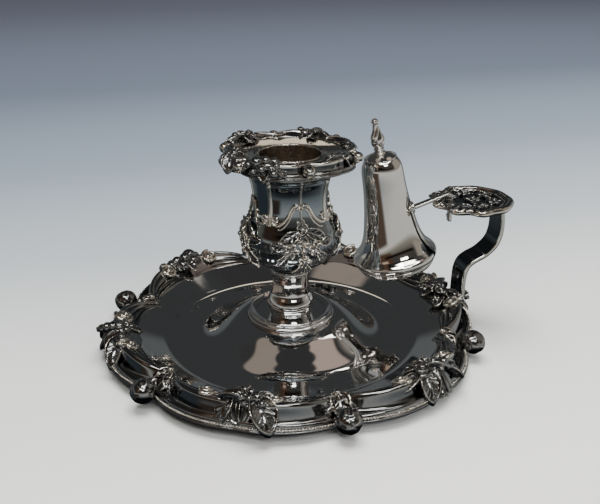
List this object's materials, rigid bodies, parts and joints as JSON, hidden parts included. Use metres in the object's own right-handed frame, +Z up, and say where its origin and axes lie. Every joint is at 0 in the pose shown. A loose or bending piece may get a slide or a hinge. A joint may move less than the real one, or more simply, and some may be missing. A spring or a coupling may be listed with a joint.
{
  "type": "chamberstick",
  "caption": "Low handled candle holder: scroll-edged drip tray, urn socket with lift-out nozzle, strap handle with thumb plate, and a bell extinguisher hooked into the plate.",
  "frame": {"origin": "on the candle's axis at table level, in the plane of the flat ring that the tray stands on", "axes": "+Z up along the candle's axis, +X towards the handle, +Y to the left of someone who looks along +X"},
  "size_m": [0.1697, 0.1516, 0.086],
  "materials": {
    "silver_sheet": "mirror-polished silver plate with fine hairlines and slight tarnish",
    "silver_cast": "cast silver, polished on the high places and dark in the recesses",
    "nozzle_sheet": "polished silver plate, worn warm and brownish inside the tube",
    "nozzle_cast": "cast silver, polished on the high places and dark in the recesses",
    "bell_silver": "mirror-polished silver plate with a warm tone",
    "fittings": "dull brass, hidden"
  },
  "bodies": {
    "base": {"tray": "silver_sheet", "border_ring": "silver_cast", "border_curls": "silver_cast", "border_buds": "silver_cast", "bud_calyxes": "silver_cast", "handle_cluster": "silver_cast", "shell_cluster": "silver_cast", "leaf_cluster": "silver_cast", "roll_cluster": "silver_cast", "grape_cluster": "silver_cast", "back_cluster": "silver_cast", "stem_foot": "silver_sheet", "stem_knop": "silver_sheet", "stem_collar": "silver_sheet", "urn": "silver_sheet", "urn_ribs": "silver_cast", "urn_scroll_line": "silver_cast", "urn_sprays": "silver_cast", "socket_liner": "fittings", "stem_screw": "fittings", "stem_washer": "fittings", "stem_nut": "fittings", "handle_strap": "silver_sheet", "handle_foot": "silver_cast", "thumb_plate": "silver_sheet", "thumb_border": "silver_cast", "thumb_flowers": "silver_cast"},
    "nozzle": {"nozzle_tube": "nozzle_sheet", "nozzle_pan": "nozzle_sheet", "nozzle_cove": "nozzle_sheet", "nozzle_border": "nozzle_cast", "nozzle_clusters": "nozzle_cast", "nozzle_buds": "nozzle_cast"},
    "extinguisher": {"bell": "bell_silver", "bell_collar": "bell_silver", "flame_finial": "bell_silver", "arm_pad": "bell_silver", "hook_arm": "bell_silver", "finial_rivet": "fittings"}
  },
  "joints": [
    {"name": "nozzle_lift", "type": "slide", "parent": "base", "child": "nozzle", "axis": [0, 0, 1], "range_m": [0, 0.022]},
    {"name": "extinguisher_lift", "type": "slide", "parent": "base", "child": "extinguisher", "axis": [0, 0, 1], "range_m": [0, 0.008]}
  ]
}
